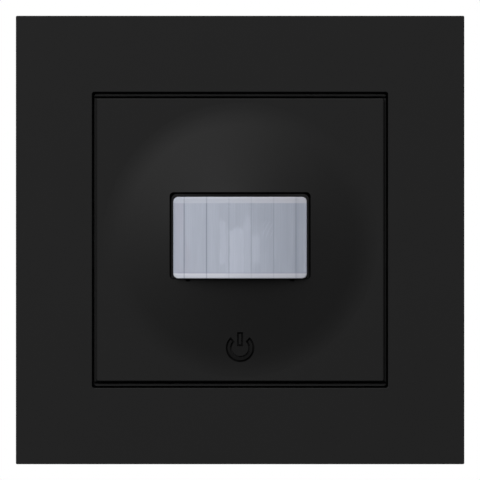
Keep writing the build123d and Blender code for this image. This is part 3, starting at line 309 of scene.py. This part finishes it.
boardLook = boardLacquer("green board", {
    "grid": 1.27, "trackWidth": 0.13, "padRadius": 0.33,          # the last two are shares of a grid cell
    "runAcross": 5, "runUp": 4, "rowsBare": 0.45, "columnsBare": 0.62, "padsBare": 0.86,
    "lacquer": (0.012, 0.10, 0.035), "overTrack": (0.03, 0.17, 0.06), "tin": (0.62, 0.61, 0.58),
    "cloudRate": 0.35, "cloud": 0.15, "trackRise": 0.6, "padRise": 0.4, "relief": 0.03,
    "rough": 0.34, "padRough": 0.1, "roughSpread": 0.12, "padMetal": 0.9, "coat": 0.25, "coatRough": 0.15,
})

wears = {
    frameLook: ["cover_frame"],
    coverLook: ["push_cover"],
    bezelLook: ["lens_bezel"],
    trayLook: ["module_housing"],
    plateLook: ["module_back_plate"],
    potLook: ["insert_housing", "insert_lid"],
    terminalLook: ["terminal_block"],
    socketLook: ["header_block", "header_socket", "dial_cases", "push_switch_body"],
    dialLook: ["time_dial", "light_level_dial", "push_switch_plunger"],
    relayLook: ["relay"],
    lineCapacitorLook: ["line_capacitor"],
    varistorLook: ["varistor"],
    resinLook: ["control_chip", "small_board_parts", "fuse", "rectifier", "supply_chip",
                "heat_sensor_element"],
    sleeveLook: ["electrolytic_capacitor"],
    ferriteLook: ["choke"],
    clearLook: ["light_sensor", "status_lamp"],
    filterLook: ["heat_sensor_filter"],
    ringSteel: ["support_ring"],
    screwSteel: ["module_screws", "ring_screws", "terminal_screw_line", "terminal_screw_neutral",
                 "terminal_screw_load", "clamp_cage_line", "clamp_cage_neutral", "clamp_cage_load"],
    canMetal: ["heat_sensor_can"],
    brassLook: ["contact_strip_line", "contact_strip_neutral", "contact_strip_load"],
    goldLook: ["header_pins", "heat_sensor_leads"],
    boardLook: ["sensor_board", "power_board"],
}
for material, names in wears.items():
    for name in names:
        for slot in nodes[name].material_slots:
            slot.material = material
print("finishes given to", sum(len(names) for names in wears.values()), "nodes")


# A piece of the scene's own that stands for a node of the frame, smooth but for edges sharper than the crease
def meshFrom(name, points, faces, body, standsFor, material, creaseAngle=35):
    mesh = bpy.data.meshes.new(name)
    mesh.from_pydata(points.tolist(), [], faces)
    mesh.validate()
    piece = bpy.data.objects.new(name, mesh)
    bpy.context.scene.collection.objects.link(piece)
    mesh.materials.append(material)
    mesh.shade_smooth()
    mesh.set_sharp_from_angle(angle=radians(creaseAngle))
    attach(piece, body)
    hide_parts(standsFor)
    return piece


# Faces of a grid whose columns close on themselves, with a fan at each end row onto one point. The points are
# numbered row by row from the start given, and the two fans' points come last
def closedGrid(rows, columns, start=0):
    row, column = np.meshgrid(np.arange(rows - 1), np.arange(columns), indexing="ij")
    a = start + row * columns + column
    b = start + row * columns + (column + 1) % columns
    sides = np.stack([a, b, b + columns, a + columns], axis=-1).reshape(-1, 4)
    here = start + np.arange(columns)
    there = start + (np.arange(columns) + 1) % columns
    pole = np.full(columns, start + rows * columns)
    lastRow = (rows - 1) * columns
    frontFan = np.stack([pole, there, here], 1)
    backFan = np.stack([pole + 1, here + lastRow, there + lastRow], 1)
    return sides.tolist() + frontFan.tolist() + backFan.tolist()


lensShape = {
    "width": 25.0, "height": 15.25, "middleZ": 0.43, "corner": 0.9, "rim": 0.22, "wall": 0.8,
    "bowRadius": 30.0, "bowMiddle": 13.9, "flange": 0.8, "flangeFront": -7.5, "flangeBack": -6.9,
    "lines": 4.18, "grooveDepth": 0.05, "grooveWidth": 0.14,
    "perSide": 60, "perCorner": 6, "faceRows": 40, "rimRows": 6, "insideRows": 24,
    "wallParts": (0.33, 0.66, 1.0), "innermost": 0.04,     # innermost ring, as a share of the outline
}


# The lens: an outline (a rectangle with round corners) carried inwards and backwards along a profile.
# Row by row it runs from the middle of the bowed face to the rim, down the wall, round the flange and back
# inside. Depth on the face is bowMiddle - sqrt(bowRadius^2 - x^2), with a shallow V at every segment line.
def makeLens():
    s = lensShape
    corner = s["corner"]
    halfX, halfZ = s["width"] / 2 - corner, s["height"] / 2 - corner
    turns = np.linspace(0, pi / 2, s["perCorner"])
    spots, outs = [], []
    for quarter in range(4):
        signX, signZ = (1, -1, -1, 1)[quarter], (1, 1, -1, -1)[quarter]
        angle = turns + quarter * pi / 2
        out = np.stack([np.cos(angle), np.sin(angle)], 1)
        arc = np.array([signX * halfX, signZ * halfZ]) + 0 * out
        nextSign = np.array([(-1, -1, 1, 1)[quarter] * halfX, (1, -1, -1, 1)[quarter] * halfZ])
        steps = np.linspace(0, 1, s["perSide"])[1:-1, None]
        straight = arc[-1] + (nextSign - arc[-1]) * steps
        spots += [arc, straight]
        outs += [out, np.repeat(out[-1:], len(straight), 0)]
    spots, outs = np.concatenate(spots), np.concatenate(outs)

    def face(x):
        line = np.abs(np.mod(x / s["lines"], 1.0) - 0.5) * s["lines"]
        groove = s["grooveDepth"] * np.clip(1 - line / s["grooveWidth"], 0, 1)
        return s["bowMiddle"] - np.sqrt(s["bowRadius"] ** 2 - x ** 2) + groove

    rows = []

    def row(inset, depth, scale=1.0):                      # depth is a number, or a rule that takes x
        flat = (spots + outs * (corner - inset)) * scale
        y = depth(flat[:, 0]) if callable(depth) else np.full(len(flat), depth)
        rows.append(np.stack([flat[:, 0], y, flat[:, 1] + s["middleZ"]], 1))

    for scale in np.linspace(s["innermost"], 1, s["faceRows"]):
        row(s["rim"], face, scale)
    for turn in np.linspace(0, pi / 2, s["rimRows"])[1:]:
        row(s["rim"] * (1 - sin(turn)), lambda x: face(x) + s["rim"] * (1 - cos(turn)))
    for part in s["wallParts"]:
        row(0.0, lambda x: (face(x) + s["rim"]) * (1 - part) + s["flangeFront"] * part)
    row(-s["flange"], s["flangeFront"])
    row(-s["flange"], s["flangeBack"])
    row(s["wall"], s["flangeBack"])
    row(s["wall"], lambda x: face(x) + s["wall"])
    for scale in np.linspace(1, s["innermost"], s["insideRows"])[1:]:
        row(s["wall"], lambda x: face(x) + s["wall"], scale)
    front = face(np.zeros(1))[0]
    poles = [[0.0, front, s["middleZ"]], [0.0, front + s["wall"], s["middleZ"]]]
    points = np.concatenate([*rows, poles]) * mm
    return points, closedGrid(len(rows), len(spots))


# The milky look of the lens. A grain says how often its noise repeats in a millimetre along x, y and z.
# A ramp or a span says between which x or z something grows, fades or lies, in millimetres from the middle
milk = {
    "low": (0.368, 0.404, 0.478), "high": (0.557, 0.593, 0.693), "body": 0.53,
    "streakGrain": (4.5, 0.1, 0.13), "streaks": 0.3, "cloudGrain": (0.9, 0.1, 0.11), "clouds": 0.2,
    "threadGrain": (9.0, 0.1, 0.05), "threads": 0.16,
    "ribPitch": 0.42, "ribBend": 9, "ribRamp": (0.42, 0.62), "ribMean": 0.25, "ribs": 0.09,
    # fallRamp and fallOff: painted shade, the lens darker towards the right
    "fallRamp": (-1.0, 9.0), "fallOff": 0.06, "farRamp": (11.5, 12.4), "farEdge": 0.35,
    "waver": 0.45, "waverTall": 6, "waverGrainX": (0.5, 0.1, 0.6), "waverGrainZ": (0.7, 0.1, 0.4),
    # Each painted light patch: left, right, bottom, top, softness and how much brighter (or darker) it is
    "paintedLightPatches": [(-3.77, -2.7, -4.8, 3.2, 0.12, 0.26), (-2.7, -1.95, -7.6, 2.6, 0.3, 0.12),
                (-1.95, 0.65, -8.0, 1.8, 0.12, 0.38), (0.65, 2.0, -8.0, 3.6, 0.3, 0.28),
                (2.2, 3.75, -4.8, 0.6, 0.2, 0.26), (-2.7, 2.1, 2.5, 7.0, 0.3, -0.04),
                (2.2, 6.2, 2.2, 7.0, 0.3, -0.12)],
    "patchTall": 5,                                        # softer at its ends than at its sides by so much
    "rippleRate": 9.0, "rippleLean": (0.9, 0.42), "rippleWave": (1.1, 0.12), "rippleCrest": (0.35, 1.0),
    "rippleSpanX": (4.3, 6.0, 0.2), "rippleSpanZ": (0.0, 3.0, 0.5), "ripples": 0.2,
    "warmGrain": (0.35, 0.1, 0.12), "warmCrest": (0.45, 0.6), "warmRamp": (-12.0, -4.0), "warmth": 0.25,
    "warmTone": (0.45, 0.42, 0.495),
    "seamWidth": (0.05, 0.17), "seamRamp": (-5.5, -3.0), "seamFaint": 0.4, "lastSeam": (10.2, 11.0, 0.25),
    "lastSeamShare": 0.3, "seams": 0.8, "bandSeams": 0.55, "seamTone": (0.25, 0.28, 0.355),
    "footSpan": (-6.65, -6.45, 0.06), "footShare": 0.3, "footTone": (0.36, 0.34, 0.50),
    "bandShift": 0.1, "bandFrom": 6.5, "bandSoft": 0.12, "bandRamp": (-6.0, 12.0),
    "bandTone": (0.545, 0.572, 0.65), "bandFar": (0.605, 0.615, 0.682),
    # bandGlow: painted light, the bottom band brighter towards the left; glare: a painted highlight line low
    # in the bottom band
    "glowFrom": (1.0, -1.0), "glowRamp": (-5.0, 5.0, 0.4, 0.12), "bandGlow": (0.78, 0.79, 0.85),
    "glareSpan": (-6.93, -6.77, 0.06), "glareShare": 0.35, "glareTone": (0.75, 0.76, 0.8),
    "rough": 0.34, "roughSpread": 0.15, "ior": 1.5, "gloss": 0.4,
    "milkiness": 0.25, "milkRadius": (1.0, 1.0, 1.1), "milkDepth": 0.6,
    "ribRise": 0.6, "streakRise": 0.4, "relief": 0.005,
}


# Milky lens: a blue grey body, darker lines between its segments, plain bright bands at top and bottom,
# fine upright ribs that come and go, soft patches of painted light and shade, painted shade to the right, and
# painted light on the bottom band
def lensFinish(look):
    finish = Finish("milky lens")
    x, y, z = finish.axes(finish.place())
    z = z - lensShape["middleZ"]
    streak = finish.noise(finish.place(look["streakGrain"]), 1.0, 3.0, 0.7)
    broad = finish.noise(finish.place(look["cloudGrain"]), 1.0, 2.0, 0.5)
    thread = finish.noise(finish.place(look["threadGrain"]), 1.0, 1.0)
    rib = (x * (2 * pi / look["ribPitch"]) + broad * look["ribBend"]).sine() * 0.5 + 0.5
    rib = rib * broad.ramp(*look["ribRamp"])
    share = look["body"] + (streak - 0.5) * look["streaks"] + (broad - 0.5) * look["clouds"]
    share = share + (rib - look["ribMean"]) * look["ribs"] + (thread - 0.5) * look["threads"]
    # painted shade: the tone falls off towards the right
    share = share - x.ramp(*look["fallRamp"]) * look["fallOff"] + x.ramp(*look["farRamp"]) * look["farEdge"]
    shiftX = (finish.noise(finish.place(look["waverGrainX"]), 1.0) - 0.5) * look["waver"]
    shiftZ = (finish.noise(finish.place(look["waverGrainZ"]), 1.0) - 0.5) * look["waver"] * look["waverTall"]
    # painted light and shade: soft patches of brighter (a few darker) tone across the lens
    for left, right, bottom, top, soft, amount in look["paintedLightPatches"]:
        upright = (x + shiftX).between(left, right, soft)
        share = share + upright * (z + shiftZ).between(bottom, top, look["patchTall"] * soft) * amount
    (leanX, leanZ), (bends, bend) = look["rippleLean"], look["rippleWave"]
    ripple = ((x * leanX - z * leanZ + (z * bends).sine() * bend) * look["rippleRate"]).sine()
    ripple = ripple.ramp(*look["rippleCrest"]) * x.between(*look["rippleSpanX"])
    ripple = ripple * z.between(*look["rippleSpanZ"])
    inner = finish.blend(share + ripple * look["ripples"], look["low"], look["high"])
    warm = finish.noise(finish.place(look["warmGrain"]), 1.0, 1.0).ramp(*look["warmCrest"])
    warm = warm * x.ramp(*look["warmRamp"], 1.0, 0.0)
    inner = finish.blend(warm * look["warmth"], inner, look["warmTone"])
    line = abs((x / lensShape["lines"]).fract() - 0.5) * lensShape["lines"]
    seam = line.ramp(*look["seamWidth"], 1.0, 0.0) * x.ramp(*look["seamRamp"], 1.0, look["seamFaint"])
    seam = (seam + x.between(*look["lastSeam"]) * look["lastSeamShare"]) * look["seams"]
    inner = finish.blend(seam, inner, look["seamTone"])
    inner = finish.blend(z.between(*look["footSpan"]) * look["footShare"], inner, look["footTone"])
    band = abs(z + look["bandShift"]).ramp(look["bandFrom"], look["bandFrom"] + look["bandSoft"])
    plain = finish.blend(x.ramp(*look["bandRamp"]), look["bandTone"], look["bandFar"])
    # painted light on the bottom band: a glow, most at the left, and a thin glare line
    plain = finish.blend(z.ramp(*look["glowFrom"]) * x.ramp(*look["glowRamp"]), plain, look["bandGlow"])
    plain = finish.blend(z.between(*look["glareSpan"]) * look["glareShare"], plain, look["glareTone"])
    plain = finish.blend(seam * look["bandSeams"], plain, look["seamTone"])
    return finish.shell({
        "Base Color": finish.blend(band, inner, plain),
        "Roughness": look["rough"] + (streak - 0.5) * look["roughSpread"],
        "IOR": look["ior"], "Specular IOR Level": look["gloss"], "Subsurface Weight": look["milkiness"],
        "Subsurface Radius": look["milkRadius"], "Subsurface Scale": look["milkDepth"] * mm,
        "Normal": finish.bump(rib * look["ribRise"] + streak * look["streakRise"], look["relief"]),
    })


lensPoints, lensFaces = makeLens()
meshFrom("lensShell", lensPoints, lensFaces, "base", "lens", lensFinish(milk))
print("lens made:", len(lensFaces), "faces")


springShape = {"coil": 1.5, "wire": 0.175, "around": 12, "perTurn": 40, "endTurns": 1.0, "openTurns": 4.0,
               "endPitch": 0.37, "middleZ": -11.0, "pressTravel": 0.76}


# The two return springs: a round wire carried along a coil, x = coil cos t, z = coil sin t. Its depth rises
# by little more than a wire's thickness a turn in the closed end turns, and by a wider pitch between them
def makeSprings():
    s = springShape
    low, high = [np.array(corner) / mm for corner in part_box("return_springs")]
    front, back = low[1] + s["wire"], high[1] - s["wire"]
    side = high[0] - s["coil"] - s["wire"]
    turns = 2 * s["endTurns"] + s["openTurns"]
    t = np.linspace(0, turns, int(turns * s["perTurn"]) + 1)
    ends = s["endTurns"] * s["endPitch"]
    stops = [0, s["endTurns"], turns - s["endTurns"], turns]
    depth = np.interp(t, stops, [front, front + ends, back - ends, back])
    angle = 2 * pi * t
    outward = np.stack([np.cos(angle), 0 * t, np.sin(angle)], 1)
    middle = outward * s["coil"] + np.stack([0 * t, depth, 0 * t + s["middleZ"]], 1)
    along = np.gradient(middle, axis=0)
    along /= np.linalg.norm(along, axis=1)[:, None]
    upward = np.cross(along, outward)
    around = np.linspace(0, 2 * pi, s["around"], endpoint=False)[None, :, None]
    section = np.cos(around) * outward[:, None] + np.sin(around) * upward[:, None]
    skin = middle[:, None] + s["wire"] * section
    coil = np.concatenate([skin.reshape(-1, 3), middle[[0, -1]]])
    points = np.concatenate([coil - [side, 0, 0], coil + [side, 0, 0]]) * mm
    faces = closedGrid(len(t), s["around"]) + closedGrid(len(t), s["around"], len(coil))
    return points, faces, low, high


springPoints, springFaces, springLow, springHigh = makeSprings()
springs = meshFrom("springCoils", springPoints, springFaces, "base", "return_springs",
                   springSteel)
springLength = springHigh[1] - springLow[1]
springHigh[1] * mm
1 - springShape["pressTravel"] / springLength
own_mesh(springs)
print("springs made:", len(springFaces), "faces, length", round(float(springLength), 3), "mm")


stageShape = {
    "floor": -42.02, "middle": (15.0, 55.0), "radius": 118.0, "sides": 96,
    "tone": (0.86, 0.86, 0.86), "rough": 0.9, "fadeFrom": 58.0, "fadeTo": 108.0,
    "frontClear": -9.5, "frontFull": 6.0, "sideFull": 22.0, "sideClear": 43.0,
}


# A pale floor under and behind the object, a flat disc: x = radius cos t, y = radius sin t about its middle.
# It melts into the white ground on all sides, and in front before the photograph's view can see it
def makeFloor():
    s = stageShape
    finish = Finish("pale floor")
    x, y, z = finish.axes(finish.place())
    farX, farY = x - s["middle"][0], y - s["middle"][1]
    reach = (farX * farX + farY * farY).root()
    shown = reach.ramp(s["fadeFrom"], s["fadeTo"], 1.0, 0.0)
    shown = shown * y.ramp(s["frontClear"], s["frontFull"])
    shown = shown * abs(x).ramp(s["sideFull"], s["sideClear"], 1.0, 0.0)
    shown = shown * (1 - finish.add("ShaderNodeNewGeometry", out="Backfacing"))   # clear from below
    paint = finish.add("ShaderNodeBsdfPrincipled", {}, {"Base Color": s["tone"], "Roughness": s["rough"]})
    clear = finish.add("ShaderNodeBsdfTransparent")
    mixed = finish.add("ShaderNodeMixShader", {}, {0: shown, 1: clear, 2: paint})
    finish.add("ShaderNodeOutputMaterial", {}, {"Surface": mixed})
    turns = np.linspace(0, 2 * pi, s["sides"], endpoint=False)
    ring = np.stack([np.cos(turns), np.sin(turns), 0 * turns], 1) * s["radius"]
    ring += np.array([*s["middle"], s["floor"]])
    mesh = bpy.data.meshes.new("floor")
    mesh.from_pydata((ring * mm).tolist(), [], [list(range(s["sides"]))])
    floor = bpy.data.objects.new("floor", mesh)
    mesh.materials.append(finish.material)
    bpy.context.scene.collection.objects.link(floor)


makeFloor()

# Soft boxes: where they stand as seen from the object's middle, in degrees off the front (or back) axis
# and round it from the right, then distance, size and strength
softBoxes = {
    "key": {"off": 40, "round": 120, "distance": 2.5, "size": 2.35, "power": 57.6, "facing": "front"},
    "backLeft": {"off": 50, "round": 140, "distance": 1.5, "size": 0.9, "power": 12.0, "facing": "back"},
    "backRight": {"off": 55, "round": 30, "distance": 1.5, "size": 0.9, "power": 9.0, "facing": "back"},
}


def hangSoftBox(name, box):
    lamp = bpy.data.lights.new(name, "AREA")
    lamp.shape, lamp.size, lamp.energy = "SQUARE", box["size"], box["power"]
    holder = bpy.data.objects.new(name, lamp)
    off, spin = radians(box["off"]), radians(box["round"])
    way = Vector((sin(off) * cos(spin), -cos(off), sin(off) * sin(spin)))
    if box["facing"] == "back":
        way.y = -way.y
    holder.location = way * box["distance"]
    holder.rotation_euler = (-way).to_track_quat("-Z", "Y").to_euler()
    bpy.context.scene.collection.objects.link(holder)


for name, box in softBoxes.items():
    hangSoftBox(name, box)


surround = {"ambient": 0.235, "glossFront": 0.05, "glossBack": 1.0, "backdrop": (0.2, 1.0)}


# White to the camera and to glass. Gloss sees a white backdrop behind the object and a dim room before it
def makeSurround():
    world = bpy.data.worlds.new("studio")
    world.use_nodes = True
    bpy.context.scene.world = world
    finish = Finish("studio", world.node_tree)
    way = finish.axes(finish.add("ShaderNodeTexCoord", out="Generated"))[1]
    rays = finish.add("ShaderNodeLightPath")
    seen = rays.sum("MAXIMUM", rays.out("Is Camera Ray"), rays.out("Is Transmission Ray"))
    gloss = rays.out("Is Glossy Ray")
    backdrop = way.ramp(*surround["backdrop"], surround["glossFront"], surround["glossBack"])
    strength = seen + (1 - seen) * (gloss * backdrop + (1 - gloss) * surround["ambient"])
    light = finish.add("ShaderNodeBackground", {}, {"Color": (1, 1, 1), "Strength": strength})
    finish.add("ShaderNodeOutputWorld", {}, {"Surface": light})


makeSurround()
bpy.context.scene.view_settings.view_transform = "Standard"

# The photograph's frame: 480 pixels span 89.9 mm at the front faces, seen square on from far away
shot = {"distance": 1500.0, "span": 89.9, "front": -11.0, "sideways": -0.02, "sensor": 36.0,
        "nearest": 50.0, "farthest": 50000.0}
camera = bpy.data.cameras.new("camera")
camera.sensor_width = shot["sensor"]
camera.lens = shot["sensor"] * shot["distance"] / shot["span"]
camera.clip_start, camera.clip_end = shot["nearest"] * mm, shot["farthest"] * mm
tripod = bpy.data.objects.new("camera", camera)
tripod.location = (shot["sideways"] * mm, (shot["front"] - shot["distance"]) * mm, 0.0)
tripod.rotation_euler = (pi / 2, 0.0, 0.0)
bpy.context.scene.collection.objects.link(tripod)
bpy.context.scene.camera = tripod
print("stage set")
